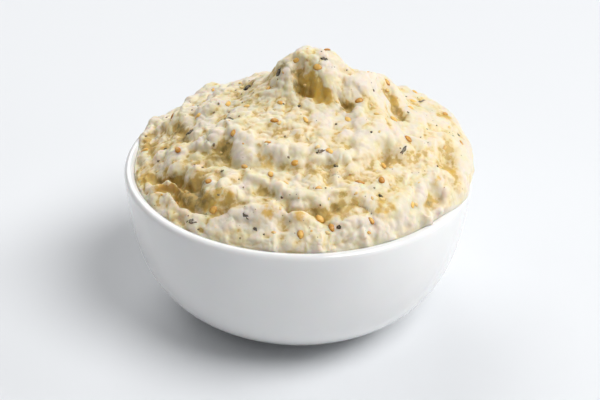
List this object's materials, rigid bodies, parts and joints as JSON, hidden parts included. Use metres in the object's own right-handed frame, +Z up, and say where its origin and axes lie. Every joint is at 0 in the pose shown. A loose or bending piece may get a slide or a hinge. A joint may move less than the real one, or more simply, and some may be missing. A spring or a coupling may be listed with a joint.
{
  "type": "baba ganoush in a bowl",
  "caption": "Thick aubergine and sesame dip, stirred into a spiral heap with a blunt knob on top, in a small round white ceramic bowl.",
  "frame": {"origin": "middle of the bowl's foot, at the height of the table", "axes": "+Z up; -Y towards the front, where the bare lip shows to the left; the dip laps over the lip on the +X side"},
  "size_m": [0.1151, 0.1153, 0.089],
  "materials": {
    "glaze": "plain white glaze, glossy and even",
    "dip": null
  },
  "bodies": {
    "root": {"bowl": "glaze", "dip": "dip"}
  },
  "joints": []
}
